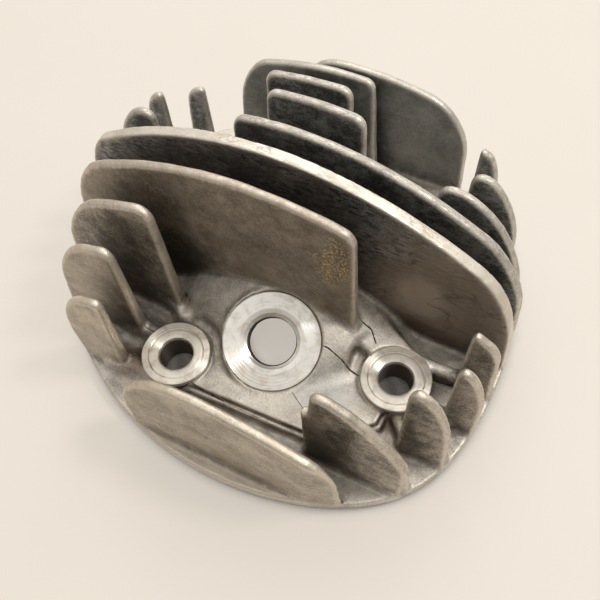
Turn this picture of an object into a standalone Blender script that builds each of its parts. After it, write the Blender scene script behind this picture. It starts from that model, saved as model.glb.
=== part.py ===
"""Air-cooled two-stroke cylinder head, modelled region by region.

The head lies gasket face down: +Z is up along the cylinder axis, +X runs along the fins and
+Y runs from the plug side to the far side.  Lengths below are millimetres, meshes are metres.
Plan positions are measured from the foot of the middle fin; the datum empty moves them all so
that the world origin is the middle of the head's box.
"""
import math
from collections import namedtuple

import bpy
from mathutils import Matrix, Vector

MM = 0.001
GAP = 0.3                     # clearance kept between neighbouring regions

DATUM = (2.5, 3.5)            # place of the plan datum in the world

# Base plate: inside four arcs (centre x, centre y, radius) for the front, back, right and left.
PLATE_BOTTOM = 1.2
PLATE_TOP = 4.5
PLATE_ARCS = ((4.0, 22.0, 82.0), (1.0, -97.0, 150.0), (-40.0, -5.0, 100.5), (0.5, 0.0, 66.0))
PLATE_CORNER_BLEND = 1.2
PLATE_EDGE = 0.8
PLATE_POINTS = 96

# Crown: a spherical cap over a domed combustion chamber, both about the cylinder axis.
AXIS = (0.9, -2.9)
CROWN_RADIUS = 34.0
CROWN_TOP = 20.0
CHAMBER_RADIUS = 27.5
CHAMBER_DEPTH = 12.0
CROWN_STEPS = 72
CAP_RINGS = 9

# Stud bosses: a 58 by 52 rectangle about the cylinder axis, turned from the fin direction.
STUD_HALF_WIDTH = 29.0
STUD_HALF_DEPTH = 26.0
STUD_TURN = 18.0
STUD_CORNERS = (("front_left", -1, -1), ("front_right", 1, -1), ("back_right", 1, 1), ("back_left", -1, 1))
BOSS_RADIUS = 9.2
BOSS_TOP = 9.5
BOSS_EDGE = 0.5
STUD_HOLE_RADIUS = 4.4
COUNTERSINK_RADIUS = 6.9
COUNTERSINK_DEPTH = 0.9
RELIEF_RADIUS = 12.5
RELIEF_FLOOR = 6.5
BOSS_STEPS = 40

# Spark plug boss: leans towards the front and a little to the right.
PLUG_SEAT = Vector((3.9, -24.2, 13.0))
PLUG_TILT = 25.0
PLUG_HEADING = -60.0
PLUG_BOSS_RADIUS = 13.6
PLUG_BOSS_LENGTH = 18.0
PLUG_SEAT_RADIUS = 12.9
PLUG_SEAT_SINK = 0.5
PLUG_HOLE_RADIUS = 6.8
PLUG_CHAMFER = 0.9
PLUG_STEPS = 56

# Raised pad in front of the plug boss.
PAD_TOP = 7.6
PAD_CORNERS = ((-14.0, -42.2), (21.4, -41.0), (28.0, -38.4), (35.0, -32.0), (31.0, -10.0), (-12.0, -20.0))

# Raised web that ties the front right boss to the crown and to the fin beside it.
WEB_TOP = 9.0
WEB_CORNERS = ((22.9, -2.8), (30.0, -5.4), (36.0, -8.0), (42.0, -9.6), (49.6, -9.4), (49.6, -12.6),
               (44.0, -14.0), (36.5, -18.6), (27.0, -13.0), (22.9, -12.8))

# Cooling fins: eleven rows, their tips on one shallow dome, the last row closer than the rest.
ROW_PITCH = 10.85
LAST_ROW_PITCH = 7.2
MIDDLE_ROW = 6
LAST_ROW = 11
DOME_TOP = 56.0
DOME_CURVE = 0.0061
DOME_CENTRE = (-4.5, -3.0)
FIN_TIP_HALF = 1.3
FIN_EDGE = 1.1
MAIN_FIN_TIP_HALF = 1.6
MAIN_FIN_EDGE = 0.3
FIN_DRAFT = math.tan(math.radians(1.3))
FIN_FOOT = PLATE_TOP + GAP
TOP_STEP = 5.0
CORNER_STEPS = 6
EDGE_STEPS = 2

# One end of a fin: foot position, lean towards the middle, width and height of its round.
End = namedtuple("End", "x lean wide high")
Fin = namedtuple("Fin", "name row left right drop")

FINS = (
    Fin("fin_01_front", 1, End(-20.6, 0.0, 25.0, 24.0), End(37.9, 0.05, 7.0, 18.0), 0.0),
    Fin("fin_02_left", 2, End(-46.5, 0.20, 8.0, 10.0), End(-30.4, -0.08, 3.0, 3.0), 3.0),
    Fin("fin_02_right", 2, End(22.6, 0.07, 5.0, 3.5), End(49.9, 0.06, 22.0, 14.0), -2.6),
    Fin("fin_03_left", 3, End(-55.6, 0.18, 12.0, 13.0), End(-31.4, -0.02, 5.0, 5.0), 2.0),
    Fin("fin_03_right", 3, End(42.9, 0.0, 4.0, 7.0), End(55.4, 0.07, 6.5, 14.0), -3.2),
    Fin("fin_04_left", 4, End(-59.5, 0.14, 14.0, 14.0), End(-25.4, 0.0, 6.0, 5.0), 1.0),
    Fin("fin_04_right", 4, End(50.5, 0.0, 3.0, 5.0), End(59.6, 0.07, 5.0, 10.0), 0.0),
    Fin("fin_05_long", 5, End(-63.0, 0.11, 9.0, 13.0), End(22.3, 0.03, 3.0, 3.5), 0.0),
    Fin("fin_05_right", 5, End(50.3, 0.0, 2.0, 4.0), End(59.6, 0.07, 3.0, 3.5), 4.6),
    Fin("fin_06_main", 6, End(-64.2, 0.07, 6.0, 12.0), End(60.0, 0.09, 10.0, 14.0), 0.0),
    Fin("fin_07_left", 7, End(-62.6, 0.08, 8.0, 9.0), End(-47.0, 0.0, 7.0, 6.0), 0.0),
    Fin("fin_07_long", 7, End(-22.4, 0.02, 3.0, 3.5), End(59.6, 0.09, 12.0, 14.0), 2.0),
    Fin("fin_08_left", 8, End(-61.0, 0.10, 4.0, 5.0), End(-52.4, 0.0, 2.5, 3.0), 1.0),
    Fin("fin_08_middle", 8, End(-18.9, 0.02, 3.0, 3.5), End(10.0, 0.02, 3.0, 3.0), 0.0),
    Fin("fin_08_right", 8, End(29.4, 0.0, 10.0, 7.0), End(56.6, 0.11, 14.0, 17.0), 4.5),
    Fin("fin_09_left", 9, End(-54.2, 0.09, 3.0, 3.0), End(-46.0, 0.0, 2.5, 3.0), 5.4),
    Fin("fin_09_middle", 9, End(-25.0, 0.02, 3.0, 3.0), End(1.6, 0.02, 3.0, 3.0), 0.0),
    Fin("fin_09_right", 9, End(35.0, 0.0, 7.0, 6.0), End(51.8, 0.10, 10.0, 14.0), 3.4),
    Fin("fin_10_long", 10, End(-41.6, 0.09, 9.0, 12.0), End(4.9, 0.06, 3.0, 3.0), 0.0),
    Fin("fin_10_right", 10, End(34.0, 0.0, 2.0, 2.5), End(42.4, 0.12, 3.5, 8.0), 2.6),
    Fin("fin_11_back", 11, End(-25.0, 0.06, 12.0, 13.0), End(30.1, 0.06, 12.0, 13.0), -0.9),
)
CROWN_FINS = ("fin_04_left", "fin_05_long", "fin_06_main", "fin_07_long", "fin_08_middle",
              "fin_09_middle")
RIM_FINS = ("fin_01_front", "fin_02_left", "fin_02_right", "fin_03_left", "fin_03_right",
            "fin_04_right", "fin_09_right", "fin_10_right")


def clear_scene():
    """Remove everything the default scene holds."""
    for obj in list(bpy.data.objects):
        bpy.data.objects.remove(obj)
    for group in list(bpy.data.collections):
        bpy.data.collections.remove(group)


def new_collection(name):
    """Make a collection linked into the scene."""
    group = bpy.data.collections.new(name)
    bpy.context.scene.collection.children.link(group)
    return group


def cast_material(name, colour, roughness):
    """Make the Principled material of one region."""
    material = bpy.data.materials.new(name)
    material.use_nodes = True
    shader = material.node_tree.nodes["Principled BSDF"]
    shader.inputs["Base Color"].default_value = (*colour, 1.0)
    shader.inputs["Metallic"].default_value = 1.0
    shader.inputs["Roughness"].default_value = roughness
    return material


def add_object(name, mesh, group):
    """Link a mesh into a collection under the given name."""
    obj = bpy.data.objects.new(name, mesh)
    group.objects.link(obj)
    return obj


def mesh_from(name, points, faces, smooth=True):
    """Build a mesh in metres from points in millimetres."""
    mesh = bpy.data.meshes.new(name)
    mesh.from_pydata([tuple(c * MM for c in p) for p in points], [], faces)
    for face in mesh.polygons:
        face.use_smooth = smooth and len(face.vertices) == 4
    mesh.update()
    return mesh


def revolve(name, profile, steps, group):
    """Spin a profile of (radius, height) points about the Z axis."""
    mesh = bpy.data.meshes.new(name)
    edges = [(i, i + 1) for i in range(len(profile) - 1)]
    mesh.from_pydata([(r * MM, 0.0, z * MM) for r, z in profile], edges, [])
    obj = add_object(name, mesh, group)
    screw = obj.modifiers.new("Spin", "SCREW")
    screw.axis = "Z"
    screw.angle = math.tau
    screw.steps = steps
    screw.render_steps = steps
    screw.use_merge_vertices = True
    screw.merge_threshold = 0.00002
    screw.use_smooth_shade = False
    return obj


def prism(name, outline, bottom, top, group, edge=0.0):
    """Stand a closed outline up between two heights, with an optional chamfered top edge."""
    count = len(outline)
    layers = [(bottom, 0.0), (top - edge, 0.0)]
    if edge:
        layers.append((top, edge))
    points = []
    for height, inset in layers:
        for x, y in outline:
            shrink = 1.0 - inset / math.hypot(x, y)
            points.append((x * shrink, y * shrink, height))
    faces = [tuple(reversed(range(count)))]
    for layer in range(len(layers) - 1):
        base = layer * count
        for i in range(count):
            j = (i + 1) % count
            faces.append((base + i, base + j, base + count + j, base + count + i))
    faces.append(tuple(range(count * (len(layers) - 1), count * len(layers))))
    return add_object(name, mesh_from(name, points, faces, smooth=False), group)


def cylinder(name, radius, bottom, top, steps, group):
    """Make a plain solid cylinder about the Z axis."""
    outline = [(radius * math.cos(math.tau * i / steps), radius * math.sin(math.tau * i / steps))
               for i in range(steps)]
    return prism(name, outline, bottom, top, group)


def boolean(obj, cutter, operation="DIFFERENCE"):
    """Cut an object with another one, exactly."""
    modifier = obj.modifiers.new(operation.title() + "_" + cutter.name, "BOOLEAN")
    modifier.operation = operation
    modifier.object = cutter
    modifier.solver = "EXACT"


def cap_sphere(radius, height):
    """Radius of the sphere whose cap has this rim radius and height."""
    return (radius * radius + height * height) / (2.0 * height)


def cap_profile(radius, base, height, rings):
    """Points of a spherical cap from its pole down to its rim."""
    sphere = cap_sphere(radius, height)
    reach = math.asin(radius / sphere)
    centre = base + height - sphere
    return [(sphere * math.sin(reach * i / rings), centre + sphere * math.cos(reach * i / rings))
            for i in range(rings + 1)]


def crown_profile(grow=0.0):
    """Outer profile of the crown, optionally grown by a clearance."""
    outer = cap_profile(CROWN_RADIUS + grow, PLATE_TOP, CROWN_TOP + grow - PLATE_TOP, CAP_RINGS)
    return outer


def plate_outline():
    """Plan outline: for each direction, the nearest of the arcs, blended where they meet."""
    outline = []
    for i in range(PLATE_POINTS):
        angle = math.tau * i / PLATE_POINTS
        direction = Vector((math.cos(angle), math.sin(angle)))
        blend = 0.0
        for centre_x, centre_y, arc_radius in PLATE_ARCS:
            centre = Vector((centre_x, centre_y))
            along = direction.dot(centre)
            reach = along + math.sqrt(arc_radius ** 2 - centre.length_squared + along ** 2)
            blend += math.exp(-reach / PLATE_CORNER_BLEND)
        radius = -PLATE_CORNER_BLEND * math.log(blend)
        outline.append(tuple(radius * direction))
    return outline


def stud_positions():
    """Plan positions of the four studs, by name."""
    turn = math.radians(STUD_TURN)
    places = {}
    for label, across, along in STUD_CORNERS:
        u = across * STUD_HALF_WIDTH
        v = along * STUD_HALF_DEPTH
        places[label] = (AXIS[0] + u * math.cos(turn) - v * math.sin(turn),
                         AXIS[1] + u * math.sin(turn) + v * math.cos(turn))
    return places


def plug_frame():
    """Placement that carries +Z onto the plug axis with its origin on the seat."""
    tilt = math.radians(PLUG_TILT)
    heading = math.radians(PLUG_HEADING)
    axis = Vector((math.sin(tilt) * math.cos(heading), math.sin(tilt) * math.sin(heading), math.cos(tilt)))
    turn = Vector((0.0, 0.0, 1.0)).rotation_difference(axis).to_matrix().to_4x4()
    return Matrix.Translation(PLUG_SEAT * MM) @ turn


def place(obj, position):
    """Move an object to a plan position, in millimetres."""
    obj.location = (position[0] * MM, position[1] * MM, 0.0)
    return obj


def row_place(row):
    """Y of a fin row."""
    if row == LAST_ROW:
        return (row - 1 - MIDDLE_ROW) * ROW_PITCH + LAST_ROW_PITCH
    return (row - MIDDLE_ROW) * ROW_PITCH


def dome_height(x, y):
    """Height of the fin tips at a point in plan."""
    return DOME_TOP - DOME_CURVE * ((x - DOME_CENTRE[0]) ** 2 + (y - DOME_CENTRE[1]) ** 2)


def end_round(end, inset, along):
    """How far the tip falls at a distance in from a fin's end."""
    wide = end.wide - inset
    if along >= wide:
        return 0.0
    return (end.high - inset) * (1.0 - math.sqrt(max(0.0, 1.0 - (1.0 - along / wide) ** 2)))


def fin_outline(fin, y, inset):
    """Outline of a fin in its own plane as (x, z) points, drawn in by an inset."""
    left = fin.left.x + inset
    right = fin.right.x - inset
    width = right - left
    stations = [(fin.left.wide - inset) * (1.0 - math.cos(0.5 * math.pi * i / CORNER_STEPS))
                for i in range(CORNER_STEPS + 1)]
    middle = width - (fin.left.wide - inset) - (fin.right.wide - inset)
    count = max(1, round(middle / TOP_STEP))
    start = stations[-1]
    stations += [start + middle * i / count for i in range(1, count)]
    stations += [width - (fin.right.wide - inset) * (1.0 - math.cos(0.5 * math.pi * i / CORNER_STEPS))
                 for i in reversed(range(CORNER_STEPS + 1))]
    points = [(right, FIN_FOOT), (left, FIN_FOOT)]
    middle_fall = fin.drop + inset
    for along in stations:
        x = left + along
        fall = end_round(fin.left, inset, along) + end_round(fin.right, inset, width - along)
        share = along / width
        height = dome_height(x, y) - middle_fall - fall
        for _ in range(3):
            shift = (fin.left.lean * (1.0 - share) - fin.right.lean * share) * (height - FIN_FOOT)
            height = dome_height(x + shift, y) - middle_fall - fall
        points.append((x + shift, height))
    return points


def fin_object(fin, group):
    """Loft one drafted fin with rounded edges through a stack of outlines."""
    y = row_place(fin.row)
    main = fin.row == MIDDLE_ROW
    half = MAIN_FIN_TIP_HALF if main else FIN_TIP_HALF
    edge = MAIN_FIN_EDGE if main else FIN_EDGE
    layers = []
    for i in range(EDGE_STEPS + 1):
        angle = 0.5 * math.pi * i / EDGE_STEPS
        layers.append((half - edge + edge * math.cos(angle), edge * (1.0 - math.sin(angle))))
    rings = []
    for side, ordered in ((-1.0, layers), (1.0, reversed(layers))):
        for offset, inset in ordered:
            outline = fin_outline(fin, y, inset)
            crest = max(z for _, z in outline)
            rings.append([(x, y + side * (offset + (crest - z) * FIN_DRAFT), z) for x, z in outline])
    count = len(rings[0])
    points = [p for ring in rings for p in ring]
    faces = [tuple(reversed(range(count)))]
    for layer in range(len(rings) - 1):
        base = layer * count
        for i in range(count):
            j = (i + 1) % count
            faces.append((base + i, base + j, base + count + j, base + count + i))
    faces.append(tuple(range(count * (len(rings) - 1), count * len(rings))))
    return add_object(fin.name, mesh_from(fin.name, points, faces), group)


clear_scene()
head = new_collection("cylinder_head")
tools = new_collection("cutters")
studs = stud_positions()
plug_placement = plug_frame()

# Cutters shared by several regions.
boss_clearance = []
relief_deep = []
relief_shallow = []
for label, position in studs.items():
    clearance = cylinder("clear_" + label, BOSS_RADIUS + GAP, -5.0, 30.0, BOSS_STEPS, tools)
    boss_clearance.append(place(clearance, position))
    deep = cylinder("relief_deep_" + label, RELIEF_RADIUS, 0.0, 30.0, BOSS_STEPS, tools)
    relief_deep.append(place(deep, position))
    shallow = cylinder("relief_" + label, RELIEF_RADIUS, RELIEF_FLOOR, 30.0, BOSS_STEPS, tools)
    relief_shallow.append(place(shallow, position))
crown_clearance = revolve("clear_crown", crown_profile(GAP) + [(CROWN_RADIUS + GAP, -5.0), (0.0, -5.0)],
                          CROWN_STEPS, tools)
chamber_cut = revolve("clear_chamber", cap_profile(CHAMBER_RADIUS, 0.0, CHAMBER_DEPTH, CAP_RINGS)
                      + [(CHAMBER_RADIUS, -5.0), (0.0, -5.0)], CROWN_STEPS, tools)
place(crown_clearance, AXIS)
place(chamber_cut, AXIS)
block = [(-90.0, -90.0), (90.0, -90.0), (90.0, 90.0), (-90.0, 90.0)]
floor_cut = prism("clear_floor", block, -20.0, FIN_FOOT, tools)
above_floor = prism("above_floor", block, PLATE_TOP, 60.0, tools)
plug_clearance = cylinder("clear_plug_boss", PLUG_BOSS_RADIUS + GAP, -30.0, 12.0, PLUG_STEPS, tools)
plug_clearance.matrix_world = plug_placement
plug_pocket = cylinder("plug_pocket", PLUG_BOSS_RADIUS + GAP, -30.0, 12.0, PLUG_STEPS, tools)
plug_pocket.matrix_world = plug_placement
boolean(plug_pocket, above_floor, "INTERSECT")
plug_bore = cylinder("plug_bore", PLUG_HOLE_RADIUS, -30.0, 5.0, PLUG_STEPS, tools)
plug_bore.matrix_world = plug_placement
rim_keep = prism("rim_keep", plate_outline(), -5.0, 70.0, tools)

# Base plate with openings for the crown and the stud bosses.
plate = prism("base_plate", plate_outline(), PLATE_BOTTOM, PLATE_TOP, head, PLATE_EDGE)
boolean(plate, crown_clearance)
for cutter in boss_clearance:
    boolean(plate, cutter)

# Crown with the combustion chamber and the gasket ring on its underside.
chamber = list(reversed(cap_profile(CHAMBER_RADIUS, 0.0, CHAMBER_DEPTH, CAP_RINGS)))
crown = revolve("crown", crown_profile() + [(CROWN_RADIUS, 0.0)] + chamber, CROWN_STEPS, head)
place(crown, AXIS)
boolean(crown, plug_pocket)
boolean(crown, plug_bore)
for cutter in boss_clearance + relief_shallow:
    boolean(crown, cutter)

# Stud bosses with countersunk holes.
bosses = []
for label, position in studs.items():
    ring = [(COUNTERSINK_RADIUS, BOSS_TOP), (BOSS_RADIUS - BOSS_EDGE, BOSS_TOP),
            (BOSS_RADIUS, BOSS_TOP - BOSS_EDGE), (BOSS_RADIUS, 0.0), (STUD_HOLE_RADIUS, 0.0),
            (STUD_HOLE_RADIUS, BOSS_TOP - COUNTERSINK_DEPTH), (COUNTERSINK_RADIUS, BOSS_TOP)]
    bosses.append(place(revolve("stud_boss_" + label, ring, BOSS_STEPS, head), position))

# Spark plug boss: seat, gasket face recess and bore down into the chamber.
seat_profile = [(PLUG_HOLE_RADIUS + PLUG_CHAMFER, -PLUG_SEAT_SINK), (PLUG_SEAT_RADIUS, -PLUG_SEAT_SINK),
                (PLUG_SEAT_RADIUS, 0.0), (PLUG_BOSS_RADIUS, 0.0), (PLUG_BOSS_RADIUS, -PLUG_BOSS_LENGTH),
                (PLUG_HOLE_RADIUS, -PLUG_BOSS_LENGTH),
                (PLUG_HOLE_RADIUS, -PLUG_SEAT_SINK - PLUG_CHAMFER),
                (PLUG_HOLE_RADIUS + PLUG_CHAMFER, -PLUG_SEAT_SINK)]
plug_boss = revolve("plug_boss", seat_profile, PLUG_STEPS, head)
plug_boss.matrix_world = plug_placement
boolean(plug_boss, floor_cut)
boolean(plug_boss, chamber_cut)

# Raised pad between the plug boss, the front studs and the first fin.
pad = prism("front_pad", PAD_CORNERS, FIN_FOOT, PAD_TOP, head)
boolean(pad, crown_clearance)
boolean(pad, plug_clearance)
for cutter in relief_deep[:2]:
    boolean(pad, cutter)

# Raised web behind the front right boss.
web = prism("boss_web", WEB_CORNERS, FIN_FOOT, WEB_TOP, head)
boolean(web, crown_clearance)
boolean(web, boss_clearance[1])

# Fins, trimmed where they stand on the crown or reach the rim.
fins = []
for spec in FINS:
    fin = fin_object(spec, head)
    if spec.name in CROWN_FINS:
        boolean(fin, crown_clearance)
    if spec.name == "fin_05_long":
        boolean(fin, plug_clearance)
    if spec.name in RIM_FINS:
        boolean(fin, rim_keep, "INTERSECT")
    fins.append(fin)

# Materials: bright machined faces, lighter plate and crown, darker fins.
for piece in [plate, crown, pad, web]:
    piece.data.materials.append(cast_material(piece.name + "_metal", (0.42, 0.39, 0.35), 0.5))
for piece in bosses + [plug_boss]:
    piece.data.materials.append(cast_material(piece.name + "_metal", (0.66, 0.64, 0.60), 0.3))
for piece in fins:
    piece.data.materials.append(cast_material(piece.name + "_metal", (0.27, 0.25, 0.23), 0.5))

# The datum carries every region and cutter to its place in the world.
datum = bpy.data.objects.new("datum", None)
head.objects.link(datum)
datum.location = (DATUM[0] * MM, DATUM[1] * MM, 0.0)
for piece in list(head.objects) + list(tools.objects):
    if piece is not datum:
        piece.parent = datum
for cutter in tools.objects:
    cutter.hide_render = True
    cutter.display_type = "WIRE"
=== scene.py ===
import math
from collections import namedtuple

import bpy
import numpy as np
import openvdb
from mathutils import Matrix, Vector


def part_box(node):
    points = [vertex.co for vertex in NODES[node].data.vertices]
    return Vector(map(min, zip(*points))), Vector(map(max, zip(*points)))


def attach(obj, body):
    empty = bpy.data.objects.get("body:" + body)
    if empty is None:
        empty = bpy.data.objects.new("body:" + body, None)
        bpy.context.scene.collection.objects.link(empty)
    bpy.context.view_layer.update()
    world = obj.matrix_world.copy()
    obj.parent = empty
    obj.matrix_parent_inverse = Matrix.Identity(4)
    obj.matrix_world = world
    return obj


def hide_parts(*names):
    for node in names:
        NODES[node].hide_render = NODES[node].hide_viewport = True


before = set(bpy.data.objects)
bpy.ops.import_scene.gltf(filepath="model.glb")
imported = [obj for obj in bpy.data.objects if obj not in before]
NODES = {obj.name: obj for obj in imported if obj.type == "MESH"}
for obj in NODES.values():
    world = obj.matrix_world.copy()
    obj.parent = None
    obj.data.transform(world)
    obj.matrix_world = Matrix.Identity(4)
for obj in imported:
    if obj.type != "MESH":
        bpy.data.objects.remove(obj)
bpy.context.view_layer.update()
MM = 0.001

# Everything below is in millimetres, with plan positions measured from the casting's datum.
DATUM = np.array([2.5, 3.5, 0.0])
STEP = 0.55          # grid step of the cast skin

# Base plate, crown and chamber.
PLATE_BOTTOM, PLATE_TOP, PLATE_EDGE = 1.2, 4.5, 0.6
AXIS = (0.9, -2.9)
CROWN_RADIUS, CROWN_TOP = 34.0, 20.0
CHAMBER_RADIUS, CHAMBER_DEPTH = 27.5, 12.0
CROWN_FILLET = 3.0
PLUG_FILLET, PAD_FILLET, WEB_FILLET, BOSS_FILLET = 1.8, 1.5, 1.5, 1.0

# Stud bosses. Each relief: heading and distance of its centre from the stud, radius, floor height.
BOSS_RADIUS, BOSS_TOP, STUD_HOLE = 9.2, 9.5, 4.4
BOSS_SKIN, BOSS_SINK = 0.05, 0.4             # how far the skin lies inside and under a turned boss
RELIEF_EDGE, RELIEF_LIP = 1.8, 1.0
RELIEFS = {"front_left": (55.0, 3.2, 9.6, 7.8), "front_right": (160.0, 3.2, 10.2, 7.5),
           "back_right": (230.0, 3.0, 10.0, 6.5), "back_left": (-20.0, 3.0, 10.0, 6.5)}
INSERT_HOLE = 8.6                            # opening in the skin under each turned boss face

# Spark plug boss.
PLUG_SEAT = np.array([3.9, -24.2, 13.0])
PLUG_TILT, PLUG_HEADING = math.radians(25.0), math.radians(-60.0)
PLUG_AXIS = np.array([math.sin(PLUG_TILT) * math.cos(PLUG_HEADING),
                      math.sin(PLUG_TILT) * math.sin(PLUG_HEADING), math.cos(PLUG_TILT)])
PLUG_COLLAR, PLUG_FACE = 13.5, 13.0
PLUG_RECESS, PLUG_LEVEL, PLUG_EDGE = 1.3, 0.45, 0.5
PLUG_CLEARANCE = 0.1
SLEEVE_OUTER, SLEEVE_OPENING = 8.2, 7.7
THREAD_MINOR, THREAD_MAJOR, THREAD_PITCH = 6.3, 6.85, 1.25

# Pad, web and the low ribs that run from the fins' feet to the front bosses.
PAD_TOP, PAD_EDGE = 7.6, 0.7
LEDGE_TOP, LEDGE_WIDTH, LEDGE_EDGE, LEDGE_FILLET = 6.2, 1.3, 0.5, 0.4
PAD = ((-14.0, -42.2), (21.4, -41.0), (28.0, -38.4), (36.5, -31.5), (38.0, -12.0), (-12.0, -20.0))
WEB_TOP, WEB_RISE, WEB_SLANT, WEB_EDGE = 9.0, 0.22, 0.97, 1.2
WEB_RISE_FROM, WEB_RISE_ALONG, WEB_RISE_LENGTH = (38.0, -10.0), (-0.92, 0.38), 20
WEB = ((18.0, -1.5), (30.0, -5.4), (36.0, -8.0), (42.0, -10.8), (42.0, -14.0), (36.5, -18.6),
       (27.0, -13.5), (20.0, -13.0))
RIB_ROUND = 0.9                              # round of a rib's top, in parts of its half width
# Each rib: start, end, top height at each, half width, softness of its foot.
RIBS = (((40.0, -11.2), (51.0, -10.85), 9.2, 8.8, 1.9, 1.2),
        ((43.0, -20.8), (52.0, -21.7), 8.6, 8.0, 1.6, 1.2),
        ((40.5, -27.5), (45.5, -32.2), 7.4, 7.2, 1.6, 1.5),
        ((-28.0, -22.0), (-24.0, -25.0), 9.0, 7.8, 1.4, 2.5),
        ((-34.0, -32.5), (-24.0, -33.0), 8.2, 8.2, 1.9, 3.5),
        ((-34.0, -43.4), (-21.5, -42.8), 7.6, 7.8, 2.2, 4.0))

# Fins.
FIN_DRAFT = math.tan(math.radians(0.8))
FIN_HALF, FIN_EDGE = 1.3, 1.1
MAIN_HALF, MAIN_EDGE = 1.6, 0.35
FIN_FILLET = 1.4
FIN_ROOT = 2.0
RIM_EDGE = 0.4                               # round where a fin meets the plate's rim
FIN_MARGIN = 6                               # reach of a fin's distances past its CAD solid
RIM_FINS = ("fin_01_front", "fin_02_left", "fin_02_right", "fin_03_left", "fin_03_right",
            "fin_04_right", "fin_09_right", "fin_10_right")
STUB = ((22.7, 26.0), (2.0, 30.6))           # lower end of the second right fin: x range, height range


def union_round(a, b, r):
    """Union of two distances with a fillet."""
    return np.maximum(r, np.minimum(a, b)) - np.hypot(np.maximum(r - a, 0), np.maximum(r - b, 0))


def meet_round(a, b, r):
    """Intersection of two distances with a rounded edge."""
    return np.minimum(-r, np.maximum(a, b)) + np.hypot(np.maximum(r + a, 0), np.maximum(r + b, 0))


def hull(points):
    """Counter-clockwise convex hull of 2-D points."""
    points = sorted(set((round(float(x), 3), round(float(y), 3)) for x, y in points))

    def half(seq):
        out = []
        for p in seq:
            while len(out) > 1 and ((out[-1][0] - out[-2][0]) * (p[1] - out[-2][1])
                                    - (out[-1][1] - out[-2][1]) * (p[0] - out[-2][0])) <= 0:
                out.pop()
            out.append(p)
        return out[:-1]
    return np.array(half(points) + half(points[::-1]))


def polygon_distance(corners, u, v):
    """Signed distance to a convex counter-clockwise polygon."""
    best = np.full(np.broadcast(u, v).shape, 1e9, np.float32)
    inside = np.full(best.shape, -1e9, np.float32)
    for (ax, ay), (bx, by) in zip(corners, np.roll(corners, -1, axis=0)):
        ex, ey = bx - ax, by - ay
        length = math.hypot(ex, ey)
        if length < 1e-6:
            continue
        pu, pv = u - ax, v - ay
        t = np.clip((pu * ex + pv * ey) / (length * length), 0, 1)
        best = np.minimum(best, np.hypot(pu - t * ex, pv - t * ey))
        inside = np.maximum(inside, (pu * ey - pv * ex) / length)
    return np.where(inside > 0, best, inside).astype(np.float32)


def node_points(name):
    """Vertices of a CAD node."""
    mesh = NODES[name].data
    flat = np.empty(len(mesh.vertices) * 3, np.float32)
    mesh.vertices.foreach_get("co", flat)
    return flat.reshape(-1, 3) / MM - DATUM


def node_centre(name):
    """Plan centre of a CAD node's box."""
    low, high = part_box(name)
    return [0.5 * (low[i] + high[i]) / MM - DATUM[i] for i in range(2)]


STUDS = {place: node_centre("stud_boss_" + place) for place in RELIEFS}

# Skin: how far it is drawn in, how much it wanders, and how it may lean out above the plate's rim.
SHRINK, WANDER, OVERHANG = 0.04, 0.07, 0.6
BAND = 4                                     # grid steps kept on either side of the skin
NORMAL_REACH = 0.5                           # grid steps over which the normals are read
BEND_REACH = 0.8                             # distance over which the curvature is read
LEAN_LIMIT = 20

# Grid of distances around the whole head.
LOW = np.array([-67.5, -62.0, -1.5])
HIGH = np.array([63.0, 56.0, 58.0])
SHAPE = tuple(int(math.ceil(s / STEP)) for s in HIGH - LOW)
AX = [(LOW[i] + STEP * np.arange(SHAPE[i])).astype(np.float32) for i in range(3)]
X, Y, Z = AX[0][:, None, None], AX[1][None, :, None], AX[2][None, None, :]


def cap(radius, base, top):
    """Distance to the sphere whose cap is the crown."""
    height = top - base
    sphere = (radius * radius + height * height) / (2 * height)
    return np.sqrt((X - AXIS[0]) ** 2 + (Y - AXIS[1]) ** 2 + (Z - (top - sphere)) ** 2) - sphere


def rib_distance(rib):
    """Distance to a low wall with a round top between two plan points."""
    (ax, ay), (bx, by), top_a, top_b, half, _ = rib
    ex, ey = bx - ax, by - ay
    t = np.clip(((X - ax) * ex + (Y - ay) * ey) / (ex * ex + ey * ey), 0, 1)
    side = np.hypot(X - ax - t * ex, Y - ay - t * ey) - half
    return meet_round(side, Z - (top_a + (top_b - top_a) * t), RIB_ROUND * half)


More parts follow.
